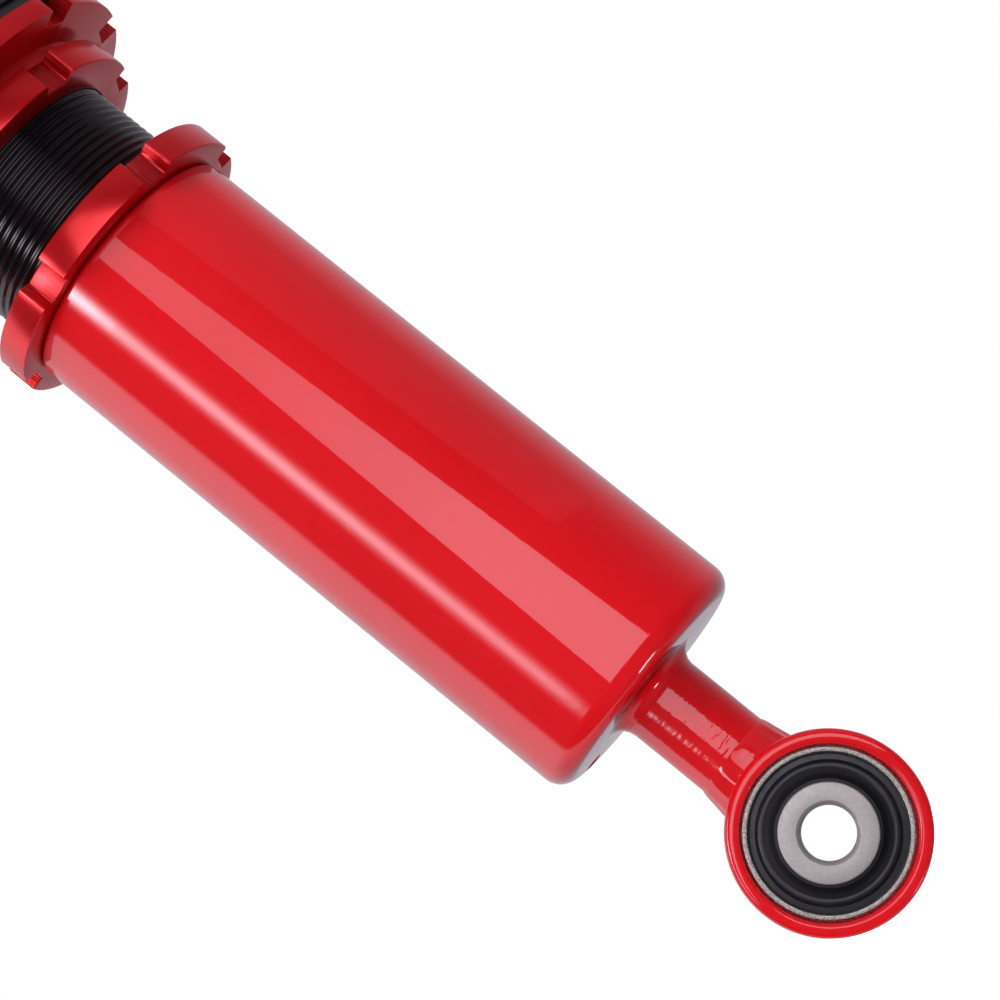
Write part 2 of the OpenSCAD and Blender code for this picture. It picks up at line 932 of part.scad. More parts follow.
bracket_tube();
stem_weld();
eye_stem();
eye_weld();
eye_ring();
bush_shell();
bush_rubber();
bush_sleeve();
lower_lock_ring();
threaded_body();
pressure_tube();
base_plug();
base_plug_seal();
rod_guide();
guide_seal();
rod_seal();
rod_wiper();
gland_nut();
floating_piston();
floating_piston_seal();
spring_isolator();
spring_perch();
upper_lock_ring();
coil_spring();
piston_rod();
topout_bumper();
compression_shims();
piston();
piston_band();
rebound_shims();
piston_nut();
bump_stop();
dust_boot();
boot_clip();
upper_spring_seat();
upper_isolator();
lower_spacer();
bearing_ball();
upper_spacer();
rod_nut();
top_plate();
bearing_race();
race_circlip();
mount_studs();
adjuster_knob();
adjuster_needle();
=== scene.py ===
"""Looks of a height-adjustable coilover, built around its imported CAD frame.

Metres, +Z up the damper axis, +X along the bore of the lower eye.
"""
import cmath
import math

import bmesh
import bpy
from mathutils import Matrix, Vector


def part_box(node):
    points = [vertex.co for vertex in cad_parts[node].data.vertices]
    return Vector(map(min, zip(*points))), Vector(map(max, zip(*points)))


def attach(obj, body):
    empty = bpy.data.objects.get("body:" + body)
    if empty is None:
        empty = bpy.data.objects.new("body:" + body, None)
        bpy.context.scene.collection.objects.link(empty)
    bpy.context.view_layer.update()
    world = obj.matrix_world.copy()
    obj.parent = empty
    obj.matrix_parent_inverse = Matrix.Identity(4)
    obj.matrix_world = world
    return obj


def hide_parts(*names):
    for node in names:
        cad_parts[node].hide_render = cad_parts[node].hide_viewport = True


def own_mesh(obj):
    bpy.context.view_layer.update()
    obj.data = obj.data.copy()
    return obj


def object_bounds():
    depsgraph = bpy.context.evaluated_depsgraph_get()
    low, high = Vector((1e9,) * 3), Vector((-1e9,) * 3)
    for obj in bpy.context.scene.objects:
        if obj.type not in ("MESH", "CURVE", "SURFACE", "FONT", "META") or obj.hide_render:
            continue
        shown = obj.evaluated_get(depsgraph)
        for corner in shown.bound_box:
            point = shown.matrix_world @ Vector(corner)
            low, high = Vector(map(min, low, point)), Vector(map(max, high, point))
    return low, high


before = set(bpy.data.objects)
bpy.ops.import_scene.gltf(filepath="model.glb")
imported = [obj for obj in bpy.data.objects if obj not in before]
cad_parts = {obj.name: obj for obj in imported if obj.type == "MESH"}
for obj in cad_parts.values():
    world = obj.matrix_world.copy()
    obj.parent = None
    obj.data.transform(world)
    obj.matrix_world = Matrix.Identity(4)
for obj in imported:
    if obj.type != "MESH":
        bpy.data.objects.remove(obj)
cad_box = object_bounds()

MM = 0.001
TURN = 2 * math.pi

SHARP = 32           # degrees: edges sharper than this stay hard where a piece says nothing else
RUN_GAP = 0.05 * MM  # round the body thread
SPIGOT = 30.6 * MM   # radius of the spigots that centre the spring

# depth of a thread's groove at even steps of one pitch, as a share of its full depth
THREAD_SHAPE = [0.0, 0.1, 0.45, 0.82, 1.0, 0.82, 0.45, 0.1]

# angle of one notch of each ring from +X, in degrees
LOWER_NOTCH = -24.8
UPPER_NOTCH = -18.7
PERCH_NOTCH = 11.5


# ---------- places read from the frame ----------

def low(node):
    """Lowest height of a CAD node."""
    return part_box(node)[0].z


def high(node):
    """Greatest height of a CAD node."""
    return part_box(node)[1].z


def radius(node):
    """Outer radius of a CAD node that is round about the damper axis."""
    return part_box(node)[1].x


def cross_radius(node):
    """Outer radius of a CAD node that is round about the eye's axis."""
    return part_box(node)[1].z


def half_width(node):
    """Half the width of a CAD node along the eye's axis."""
    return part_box(node)[1].x


# ---------- outlines ----------

def rounded(outline, edge, steps=3):
    """A closed outline with each corner turned into an arc of radius edge, or of its own third value."""
    nearly_straight = math.radians(88)
    share_of_side = 0.45
    points = []
    for i, corner in enumerate(outline):
        here = complex(*corner[:2])
        before = complex(*outline[i - 1][:2]) - here
        after = complex(*outline[(i + 1) % len(outline)][:2]) - here
        wanted = corner[2] if len(corner) > 2 else edge
        turn = abs(math.remainder(cmath.phase(after) - cmath.phase(before), TURN)) / 2
        if wanted == 0 or turn > nearly_straight:
            points.append((here.real, here.imag))
            continue
        reach = min(wanted / math.tan(turn), share_of_side * abs(before), share_of_side * abs(after))
        into = before / abs(before)
        out = after / abs(after)
        centre = here + (into + out) / abs(into + out) * reach / math.cos(turn)
        first = here + into * reach - centre
        last = here + out * reach - centre
        sweep = math.remainder(cmath.phase(last) - cmath.phase(first), TURN)
        for k in range(steps + 1):
            spot = centre + first * cmath.rect(1, sweep * k / steps)
            points.append((spot.real, spot.imag))
    return points


# ---------- meshes ----------

def revolve(outline, steps, reach=None):
    """Points and faces of a closed outline turned about Z. reach(angle, r, h) may change each radius."""
    points = []
    for i in range(steps):
        angle = TURN * i / steps
        for r, h in outline:
            far = reach(angle, r, h) if reach else r
            points.append((far * math.cos(angle), far * math.sin(angle), h))
    count = len(outline)
    faces = []
    for i in range(steps):
        for k in range(count):
            after = (k + 1) % count
            turn = (i + 1) % steps * count
            faces.append((i * count + k, turn + k, turn + after, i * count + after))
    return points, faces


def along_x(points):
    """The same points with Z turned into X."""
    return [(z, y, -x) for x, y, z in points]


def tidy(mesh, sharp):
    """Merges doubled points, turns every face outwards and shades it smooth up to sharp degrees."""
    work = bmesh.new()
    work.from_mesh(mesh)
    bmesh.ops.remove_doubles(work, verts=work.verts, dist=1e-6)
    bmesh.ops.dissolve_degenerate(work, edges=work.edges, dist=1e-7)
    bmesh.ops.recalc_face_normals(work, faces=work.faces)
    work.to_mesh(mesh)
    work.free()
    mesh.shade_smooth()
    mesh.set_sharp_from_angle(angle=math.radians(sharp))


def add_mesh(name, points, faces, sharp=SHARP):
    """A mesh object from points and faces."""
    mesh = bpy.data.meshes.new(name)
    mesh.from_pydata([Vector(p) for p in points], [], faces)
    tidy(mesh, sharp)
    made = bpy.data.objects.new(name, mesh)
    bpy.context.scene.collection.objects.link(made)
    return made


def add_turned(name, outline, steps, reach=None, shift=None, sharp=SHARP):
    """A mesh object from a closed outline turned about Z. shift(points) may move its points."""
    points, faces = revolve(outline, steps, reach)
    return add_mesh(name, shift(points) if shift else points, faces, sharp)


def bake_modifiers(piece, sharp=SHARP):
    """Applies a piece's modifiers to its mesh."""
    graph = bpy.context.evaluated_depsgraph_get()
    mesh = bpy.data.meshes.new_from_object(piece.evaluated_get(graph))
    piece.modifiers.clear()
    piece.data = mesh
    mesh.shade_smooth()
    mesh.set_sharp_from_angle(angle=math.radians(sharp))


def bevel(piece, width, sharp):
    """Rounds a piece's edges of more than sharp degrees."""
    modifier = piece.modifiers.new("edges", "BEVEL")
    modifier.width = width
    modifier.segments = 3
    modifier.limit_method = "ANGLE"
    modifier.angle_limit = math.radians(sharp)
    bake_modifiers(piece, sharp)


def drill(piece, spots, hole, bottom, top):
    """Cuts straight holes of radius hole along Z through a piece at each (x, y)."""
    for x, y in spots:
        shaft = [(0, bottom), (hole, bottom), (hole, top), (0, top)]
        points, faces = revolve(shaft, 48)
        cutter = add_mesh("cutter", [(px + x, py + y, pz) for px, py, pz in points], faces)
        modifier = piece.modifiers.new("hole", "BOOLEAN")
        modifier.operation = "DIFFERENCE"
        modifier.solver = "EXACT"
        modifier.object = cutter
        bake_modifiers(piece)
        bpy.data.objects.remove(cutter)


def helix_grid(crest, depth, pitch, bottom, top, columns, fade):
    """Points and faces of a screw thread's outside, from bottom to top. fade is the run-out at each end."""
    rows_per_turn = len(THREAD_SHAPE)
    rows = (int((top - bottom) / pitch) + 2) * rows_per_turn
    points = []
    for i in range(columns):
        for j in range(rows):
            height = bottom + pitch * (j / rows_per_turn - 1 + i / columns)
            h = min(max(height, bottom), top)
            run_out = min(1, (h - bottom) / fade, (top - h) / fade)
            r = crest - depth * THREAD_SHAPE[j % rows_per_turn] * run_out
            angle = TURN * i / columns
            points.append((r * math.cos(angle), r * math.sin(angle), h))
    faces = []
    for i in range(columns):
        shift = 0 if i + 1 < columns else rows_per_turn
        turn = (i + 1) % columns * rows
        for j in range(rows - 1):
            if j + 1 + shift < rows:
                faces.append((i * rows + j, turn + j + shift, turn + j + 1 + shift, i * rows + j + 1))
    return points, faces


def threaded_part(name, outline, crest, depth, pitch, bottom, top, columns, fade):
    """A helical thread from bottom to top with the rest of its part.

    outline runs from the thread's top rim round the inside or over the ends to its bottom rim.
    """
    points, faces = helix_grid(crest, depth, pitch, bottom, top, columns, fade)
    start = len(points)
    rest = [(crest, top)] + outline + [(crest, bottom)]
    for i in range(columns):
        angle = TURN * i / columns
        points += [(r * math.cos(angle), r * math.sin(angle), h) for r, h in rest]
    count = len(rest)
    for i in range(columns):
        turn = start + (i + 1) % columns * count
        for k in range(count - 1):
            faces.append((start + i * count + k, turn + k, turn + k + 1, start + i * count + k + 1))
    return add_mesh(name, points, faces, sharp=80)


# ---------- materials ----------

class Paint:
    """One procedural material: a Principled shader and the few texture nodes that vary it."""

    def __init__(self, name, **sockets):
        self.material = bpy.data.materials.new(name)
        self.material.use_nodes = True
        self.tree = self.material.node_tree
        self.shader = self.tree.nodes["Principled BSDF"]
        for socket, value in sockets.items():
            self.shader.inputs[socket.replace("_", " ")].default_value = value
        coordinates = self.node("ShaderNodeTexCoord")
        self.place = coordinates.outputs["Object"]

    def node(self, kind, **settings):
        made = self.tree.nodes.new(kind)
        for key, value in settings.items():
            setattr(made, key, value)
        return made

    def link(self, source, target):
        self.tree.links.new(source, target)

    def noise(self, scale, detail, roughness=0.5, stretch=(1, 1, 1)):
        """Noise with scale features a metre."""
        mapping = self.node("ShaderNodeMapping")
        mapping.inputs["Scale"].default_value = stretch
        self.link(self.place, mapping.inputs["Vector"])
        made = self.node("ShaderNodeTexNoise")
        made.inputs["Scale"].default_value = scale
        made.inputs["Detail"].default_value = detail
        made.inputs["Roughness"].default_value = roughness
        self.link(mapping.outputs["Vector"], made.inputs["Vector"])
        return made.outputs["Fac"]

    def turned(self, scale):
        """Fine uneven rings round the damper axis, as a lathe tool leaves them."""
        flat = self.node("ShaderNodeVectorMath", operation="MULTIPLY")
        flat.inputs[1].default_value = (1, 1, 0)
        self.link(self.place, flat.inputs[0])
        length = self.node("ShaderNodeVectorMath", operation="LENGTH")
        self.link(flat.outputs[0], length.inputs[0])
        parts = self.node("ShaderNodeSeparateXYZ")
        self.link(self.place, parts.inputs[0])
        run = self.node("ShaderNodeMath", operation="ADD")
        self.link(length.outputs["Value"], run.inputs[0])
        self.link(parts.outputs["Z"], run.inputs[1])
        lines = self.node("ShaderNodeTexNoise", noise_dimensions="1D")
        lines.inputs["Scale"].default_value = scale
        lines.inputs["Detail"].default_value = 3.0
        self.link(run.outputs[0], lines.inputs["W"])
        return lines.outputs["Fac"]

    def vary(self, socket, fac, lowest, highest):
        """Maps a texture, nearly all of it between 0.3 and 0.7, onto a number of the shader."""
        span = self.node("ShaderNodeMapRange")
        span.inputs["From Min"].default_value = 0.3
        span.inputs["From Max"].default_value = 0.7
        span.inputs["To Min"].default_value = lowest
        span.inputs["To Max"].default_value = highest
        self.link(fac, span.inputs["Value"])
        self.link(span.outputs["Result"], self.shader.inputs[socket])

    def tint(self, fac, *stops):
        """Colours the surface through a ramp of (position, colour) stops."""
        ramp = self.node("ShaderNodeValToRGB")
        keys = ramp.color_ramp.elements
        for key, (position, colour) in zip(keys, (stops[0], stops[-1])):
            key.position = position
            key.color = (*colour, 1)
        for position, colour in stops[1:-1]:
            keys.new(position).color = (*colour, 1)
        self.link(fac, ramp.inputs["Fac"])
        self.link(ramp.outputs["Color"], self.shader.inputs["Base Color"])

    def bump(self, fac, height):
        """Adds relief of a height in metres over the relief made so far."""
        made = self.node("ShaderNodeBump")
        made.inputs["Distance"].default_value = height
        self.link(fac, made.inputs["Height"])
        earlier = self.shader.inputs["Normal"].links
        if earlier:
            self.link(earlier[0].from_socket, made.inputs["Normal"])
        self.link(made.outputs["Normal"], self.shader.inputs["Normal"])
        if self.shader.inputs["Coat Weight"].default_value > 0:
            self.link(made.outputs["Normal"], self.shader.inputs["Coat Normal"])


RED = (0.6, 0.0032, 0.0075)
RED_DEEP = (0.54, 0.0026, 0.006)
ENAMEL = {"Roughness": 0.4, "Specular_IOR_Level": 0.06, "Coat_Weight": 1.0}


def red_paint():
    """Gloss red stove enamel with a little orange peel."""
    paint = Paint("red_paint", **ENAMEL, Coat_Roughness=0.035)
    paint.tint(paint.noise(14, 3), (0.3, RED_DEEP), (0.55, RED), (0.75, RED))
    paint.vary("Roughness", paint.noise(900, 4), 0.36, 0.46)
    paint.bump(paint.noise(260, 2), 0.000012)
    return paint.material


def red_paint_weld():
    """The same enamel where it lies thick over rough turned metal and weld."""
    paint = Paint("red_paint_weld", **ENAMEL, Coat_Roughness=0.05)
    paint.tint(paint.noise(120, 3), (0.3, RED_DEEP), (0.7, RED))
    paint.bump(paint.noise(260, 2), 0.00005)
    paint.bump(paint.noise(480, 1, 0.5, (0.7, 0.7, 2)), 0.000048)
    return paint.material


def red_anodised():
    """Satin red anodised aluminium, turned."""
    paint = Paint("red_anodised", Metallic=0.6, Roughness=0.24, Coat_Weight=0.2, Coat_Roughness=0.16)
    paint.tint(paint.noise(60, 4), (0.3, (0.54, 0.004, 0.007)), (0.7, (0.62, 0.007, 0.01)))
    rings = paint.turned(4200)
    paint.vary("Roughness", rings, 0.21, 0.27)
    paint.bump(rings, 0.0000012)
    return paint.material


def red_milled():
    """Red anodised aluminium where a cutter left straight streaks."""
    paint = Paint("red_milled", Metallic=0.75, Roughness=0.34, Coat_Weight=0.3, Coat_Roughness=0.2)
    streaks = paint.noise(2200, 3, 0.6, (1, 1, 0.05))
    paint.tint(streaks, (0.35, (0.46, 0.003, 0.006)), (0.58, (0.56, 0.006, 0.01)), (0.75, (0.74, 0.07, 0.07)))
    paint.vary("Roughness", streaks, 0.22, 0.4)
    paint.bump(streaks, 0.000026)
    return paint.material


def black_coated_steel():
    """Black nitrided steel with an oily gloss."""
    paint = Paint("black_coated_steel", Roughness=0.13, Specular_IOR_Level=0.5)
    paint.tint(paint.noise(300, 4), (0.3, (0.0022, 0.002, 0.0026)), (0.7, (0.005, 0.0046, 0.0055)))
    paint.vary("Roughness", paint.noise(700, 3, 0.6), 0.09, 0.18)
    paint.bump(paint.turned(2400), 0.000004)
    return paint.material


def spring_black():
    """Black powder coat on the spring."""
    paint = Paint("spring_black", Roughness=0.36, Coat_Weight=0.3, Coat_Roughness=0.2)
    paint.tint(paint.noise(120, 3), (0.3, (0.006, 0.006, 0.0065)), (0.7, (0.012, 0.012, 0.0125)))
    paint.vary("Roughness", paint.noise(1500, 3), 0.3, 0.44)
    paint.bump(paint.noise(1100, 2), 0.00002)
    return paint.material


def steel(name, dark, light, grain, rough, relief, metallic=1.0):
    """Bare or plated steel with a fine grain."""
    paint = Paint(name, Metallic=metallic, Roughness=rough)
    fleck = paint.noise(grain, 5, 0.65)
    paint.tint(fleck, (0.3, dark), (0.7, light))
    paint.vary("Roughness", paint.noise(grain * 0.6, 3), rough - 0.08, rough + 0.1)
    paint.bump(fleck, relief)
    return paint.material


def turned_metal(name, dark, light, rough, relief):
    """Bright metal with the rings of a lathe tool."""
    paint = Paint(name, Metallic=1.0, Roughness=rough)
    rings = paint.turned(3600)
    paint.tint(rings, (0.25, dark), (0.75, light))
    paint.vary("Roughness", rings, rough - 0.06, rough + 0.1)
    paint.bump(rings, relief)
    return paint.material


def polymer(name, dark, light, rough, relief, grain=900, sheen=0.0):
    """Rubber, foam or nylon with a fine matt grain."""
    paint = Paint(name, Roughness=rough, Specular_IOR_Level=0.5, Sheen_Weight=sheen)
    speck = paint.noise(grain, 4, 0.6)
    paint.tint(paint.noise(grain * 0.15, 3), (0.3, dark), (0.7, light))
    paint.vary("Roughness", speck, rough - 0.07, rough + 0.09)
    paint.bump(speck, relief)
    return paint.material


# dark and light are the grain's two colours, relief is its height in metres and grain its features a metre
STEELS = {
    "zinc_shell": {
        "dark": (0.13, 0.12, 0.105), "light": (0.8, 0.76, 0.68),
        "grain": 2400, "rough": 0.42, "relief": 0.00008
    },
    "sleeve_steel": {
        "dark": (0.4, 0.375, 0.35), "light": (0.52, 0.49, 0.46),
        "grain": 2600, "rough": 0.5, "relief": 0.000012, "metallic": 0.75
    },
    "shim_steel": {
        "dark": (0.35, 0.36, 0.4), "light": (0.52, 0.53, 0.56),
        "grain": 1500, "rough": 0.3, "relief": 0.000004
    },
    "sintered_piston": {
        "dark": (0.24, 0.24, 0.25), "light": (0.4, 0.4, 0.41),
        "grain": 2600, "rough": 0.5, "relief": 0.00003
    },
    "zinc_steel": {
        "dark": (0.5, 0.5, 0.48), "light": (0.68, 0.68, 0.65),
        "grain": 1200, "rough": 0.3, "relief": 0.000006
    },
}
TURNED_METALS = {
    "honed_steel": {
        "dark": (0.42, 0.42, 0.43), "light": (0.6, 0.6, 0.61),
        "rough": 0.24, "relief": 0.000003
    },
    "machined_aluminium": {
        "dark": (0.62, 0.62, 0.63), "light": (0.8, 0.8, 0.81),
        "rough": 0.28, "relief": 0.000006
    },
    "chromed_rod": {
        "dark": (0.72, 0.72, 0.73), "light": (0.82, 0.82, 0.83),
        "rough": 0.12, "relief": 0.0000008
    },
    "chromed_ball": {
        "dark": (0.68, 0.68, 0.69), "light": (0.8, 0.8, 0.81),
        "rough": 0.14, "relief": 0.000001
    },
    "bronze_band": {
        "dark": (0.36, 0.2, 0.08), "light": (0.5, 0.3, 0.13),
        "rough": 0.36, "relief": 0.000008
    },
}
POLYMERS = {
    "bush_rubber": {
        "dark": (0.0085, 0.0085, 0.0115), "light": (0.014, 0.014, 0.018),
        "rough": 0.36, "relief": 0.00001
    },
    "seal_rubber": {
        "dark": (0.008, 0.008, 0.008), "light": (0.016, 0.016, 0.016),
        "rough": 0.4, "relief": 0.00001
    },
    "boot_rubber": {
        "dark": (0.01, 0.01, 0.011), "light": (0.022, 0.022, 0.023),
        "rough": 0.48, "relief": 0.00002, "sheen": 0.15
    },
    "black_nylon": {
        "dark": (0.012, 0.012, 0.013), "light": (0.024, 0.024, 0.025),
        "rough": 0.42, "relief": 0.00001
    },
    "bump_foam": {
        "dark": (0.28, 0.2, 0.07), "light": (0.42, 0.32, 0.13),
        "rough": 0.75, "relief": 0.00012, "grain": 700
    },
}


def all_materials():
    """Every finish under the name of its slot in the record."""
    made = {
        "red_paint": red_paint(),
        "red_paint_weld": red_paint_weld(),
        "red_anodised": red_anodised(),
        "red_milled": red_milled(),
        "black_coated_steel": black_coated_steel(),
        "spring_black": spring_black(),
    }
    for make, finishes in ((steel, STEELS), (turned_metal, TURNED_METALS), (polymer, POLYMERS)):
        for name, values in finishes.items():
            made[name] = make(name, **values)
    return made


FINISH = all_materials()


def place(piece, body, nodes, finish):
    """Gives a piece its finish, puts it on its body and hides the CAD nodes it stands for."""
    if not piece.data.materials:
        piece.data.materials.append(FINISH[finish])
    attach(piece, body)
    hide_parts(*nodes)


# ---------- lower bracket ----------

def make_bracket_tube():
    """Closed tube with a rounded end, a soft rolled rim and a drain hole."""
    outer = radius("bracket_tube")
    bottom = low("bracket_tube")
    top = high("bracket_tube")
    inner = radius("threaded_body") + RUN_GAP
    wall = 4 * MM
    end_edge = 5 * MM
    rim_edge = 1.3 * MM
    bore_edge = 0.4 * MM
    inner_edge = 3 * MM
    outline = rounded([
        (0, bottom, 0), (outer, bottom, end_edge), (outer, top, rim_edge), (inner, top, bore_edge),
        (inner, bottom + wall, inner_edge), (0, bottom + wall, 0)
    ], edge=0, steps=14)
    tube = add_turned("tube_shell", outline, 192)
    drain_angle = math.radians(-116)
    drain_circle = 23 * MM
    drain = (drain_circle * math.cos(drain_angle), drain_circle * math.sin(drain_angle))
    drill(tube, [drain], hole=2.5 * MM, bottom=bottom - wall, top=bottom + 2 * wall)
    place(tube, "lower_bracket", ["bracket_tube"], "red_paint")


def weld_ripple(count, height, seed):
    """A radius change that follows the uneven scales of a weld bead round an axis."""
    def change(angle):
        scale = math.sin(count * angle + seed + 0.6 * math.sin(3 * angle + seed))
        drift = math.sin(2 * angle + 2 * seed) + 0.6 * math.sin(5 * angle + seed)
        return height * (scale + 0.5 * drift)
    return change


def make_stem_weld():
    """Broad concave fillet where the stem meets the tube, with fine rings and slow lumps."""
    shaft = radius("eye_stem")
    top = high("stem_weld")
    reach_out = radius("stem_weld") - shaft - 0.2 * MM
    reach_down = top - low("stem_weld")
    sunk = 0.5 * MM
    ring_height = 0.025 * MM
    rings_per_metre = 9 / MM
    lumps = weld_ripple(count=5, height=0.09 * MM, seed=1.0)
    steps = 36
    curve = []
    for k in range(steps + 1):
        t = k / steps * math.pi / 2
        curve.append((shaft + reach_out * (1 - math.sin(t)), top - reach_down * (1 - math.cos(t))))
    outline = curve + [(shaft - sunk, top - reach_down), (shaft - sunk, top)]

    def reach(angle, r, h):
        if r <= shaft or h >= top - 0.01 * MM:
            return r
        ring = ring_height * math.sin((r - h) * rings_per_metre + 0.8 * math.sin(2 * angle))
        return r + ring + lumps(angle) * min(1, (r - shaft) / MM)
    bead = add_turned("stem_weld_bead", outline, 240, reach, sharp=60)
    place(bead, "lower_bracket", ["stem_weld"], "red_paint_weld")


def above_eye(points):
    """The same points, none of them inside the eye's outer cylinder."""
    eye = cross_radius("eye_ring")
    return [(x, y, max(z, math.sqrt(max(eye * eye - y * y, 0)))) for x, y, z in points]


def make_eye_stem():
    """Round stem with the slight unevenness of a forging."""
    shaft = radius("eye_stem")
    top = high("eye_stem")
    bottom = 0.7 * cross_radius("eye_ring")
    unevenness = 0.05 * MM
    rows = 40
    side = [(shaft, bottom + (top - bottom) * k / rows) for k in range(rows + 1)]

    def reach(angle, r, h):
        wave = math.sin(3 * angle + 140 * h) + 0.7 * math.sin(5 * angle - 260 * h + 1)
        return r - unevenness * (1 + 0.4 * wave) if r > 0 else 0
    stem = add_turned("stem", [(0, bottom)] + side + [(0, top)], 128, reach, above_eye)
    place(stem, "lower_bracket", ["eye_stem"], "red_paint_weld")


def make_eye_weld():
    """Flare of weld metal from the stem into the eye, with a low toe at its upper end."""
    shaft = radius("eye_stem")
    bottom = low("eye_weld")
    top = high("eye_weld")
    widest = radius("eye_weld") - 0.15 * MM
    toe_height = 0.24 * MM
    toe_share = 0.15
    sunk = 1 * MM
    ripple = weld_ripple(count=17, height=0.13 * MM, seed=2.3)
    steps = 18
    flare = []
    for k in range(steps + 1):
        t = k / steps
        toe = toe_height * t * min(1, (1 - t) / toe_share) ** 0.6
        flare.append((shaft + toe + (widest - shaft) * (1 - t) ** 1.15, bottom + (top - bottom) * t))
    outline = flare + [(shaft - sunk, top), (shaft - sunk, bottom)]

    def reach(angle, r, h):
        return r if r < shaft else r + ripple(angle) * min(1, (r - shaft) / MM)
    weld = add_turned("eye_weld_flare", outline, 192, reach, above_eye, sharp=60)
    place(weld, "lower_bracket", ["eye_weld"], "red_paint_weld")


def make_eye_ring():
    """Eye with soft painted rims."""
    outer = cross_radius("eye_ring")
    inner = cross_radius("bush_shell")
    half = half_width("eye_ring")
    rim = 2.1 * MM
    lip = 1.1 * MM
    corners = [(inner, -half, lip), (outer, -half, rim), (outer, half, rim), (inner, half, lip)]
    eye = add_turned("eye", rounded(corners, rim, steps=10), 192, shift=along_x)
    place(eye, "lower_bracket", ["eye_ring"], "red_paint")


def make_bush_shell():
    """Pressed steel outer shell of the bush."""
    outer = cross_radius("bush_shell")
    half = half_width("bush_shell")
    bore = cross_radius("bush_rubber")
    chamfer = 0.7 * MM
    lead = 0.4 * MM
    lead_depth = 1.4 * MM
    outline = rounded([
        (bore, lead_depth - half), (bore + lead, -half), (outer - chamfer, -half), (outer, chamfer - half),
        (outer, half - chamfer), (outer - chamfer, half), (bore + lead, half), (bore, half - lead_depth)
    ], 0.2 * MM)
    shell = add_turned("bush_outer_shell", outline, 192, shift=along_x)
    place(shell, "lower_bracket", ["bush_shell"], "zinc_shell")


def make_bush_rubber():
    """Moulded rubber with a raised band between a groove and a moat on each face."""
    outer = cross_radius("bush_rubber")
    inner = cross_radius("bush_sleeve") + 0.03 * MM
    half = half_width("bush_rubber")
    moat = half - 2.4 * MM
    shoulder = half - 0.9 * MM
    band = half - 0.1 * MM
    groove = half - 1.6 * MM
    face = [
        (inner, moat, 0.2 * MM), (inner + 0.8 * MM, moat, 0.5 * MM), (inner + 1.9 * MM, shoulder, 0.5 * MM),
        (outer - 2.9 * MM, band, 1 * MM), (outer - 1.9 * MM, band, 0.6 * MM),
        (outer - 1.3 * MM, groove, 0.3 * MM), (outer, groove, 0.1 * MM)
    ]
    back = [(r, -h, edge) for r, h, edge in reversed(face)]
    rubber = add_turned("bush_rubber_ring", rounded(face + back, 0.3 * MM, steps=5), 192, shift=along_x)
    place(rubber, "lower_bracket", ["bush_rubber"], "bush_rubber")


def make_bush_sleeve():
    """Inner sleeve with a chamfered bolt bore."""
    outer = cross_radius("bush_sleeve")
    half = half_width("bush_sleeve")
    bore = 6.1 * MM
    lead = 0.7 * MM
    outline = rounded([
        (bore, -half + lead), (bore + lead, -half), (outer, -half), (outer, half),
        (bore + lead, half), (bore, half - lead)
    ], 0.35 * MM)
    sleeve = add_turned("bush_inner_sleeve", outline, 160, shift=along_x)
    place(sleeve, "bush_sleeve", ["bush_sleeve"], "sleeve_steel")


# ---------- lock rings and perch ----------

def slotted(name, outline, rim, notches, phase, depth, floor, mouth):
    """A ring of the given outline whose rim is cut by flared spanner notches.

    floor and mouth are a notch's widths, depth is how far it goes in and phase its angle in degrees.
    """
    floor_r = rim - depth
    floor_angle = math.atan2(floor / 2, floor_r)
    mouth_angle = math.atan2(mouth / 2, rim)
    pitch = TURN / notches
    land = pitch - 2 * mouth_angle
    land_steps = max(6, round(land / math.radians(4)))
    columns = []
    for i in range(notches):
        middle = math.radians(phase) + i * pitch
        columns.append((middle - floor_angle, floor_r / math.cos(floor_angle), True))
        columns.append((middle, floor_r, True))
        columns.append((middle + floor_angle, floor_r / math.cos(floor_angle), True))
        for k in range(land_steps + 1):
            columns.append((middle + mouth_angle + land * k / land_steps, rim, k == land_steps))
    count = len(outline)
    points = []
    for angle, cap, _ in columns:
        for r, h in outline:
            r = min(r, cap)
            points.append((r * math.cos(angle), r * math.sin(angle), h))
    faces = []
    milled = []
    for i, (_, _, cut) in enumerate(columns):
        turn = (i + 1) % len(columns) * count
        for k in range(count):
            after = (k + 1) % count
            faces.append((i * count + k, turn + k, turn + after, i * count + after))
            milled.append(cut and outline[k][0] == rim and outline[after][0] == rim)
    mesh = bpy.data.meshes.new(name)
    mesh.from_pydata(points, [], faces)
    mesh.materials.append(FINISH["red_anodised"])
    mesh.materials.append(FINISH["red_milled"])
    mesh.polygons.foreach_set("material_index", [int(m) for m in milled])
    tidy(mesh, SHARP)
    ring = bpy.data.objects.new(name, mesh)
    bpy.context.scene.collection.objects.link(ring)
    bevel(ring, width=0.45 * MM, sharp=25)
    return ring


def make_lock_ring(name, node, phase):
    """Lock nut with six notches."""
    rim = 34.75 * MM
    bore = radius("threaded_body") + RUN_GAP
    bottom = low(node)
    top = high(node)
    outline = [(bore, bottom), (rim, bottom), (rim, top), (bore, top)]
    ring = slotted(name, outline, rim, notches=6, phase=phase, depth=3.3 * MM, floor=6.8 * MM, mouth=8.4 * MM)
    place(ring, node, [node], "red_anodised")


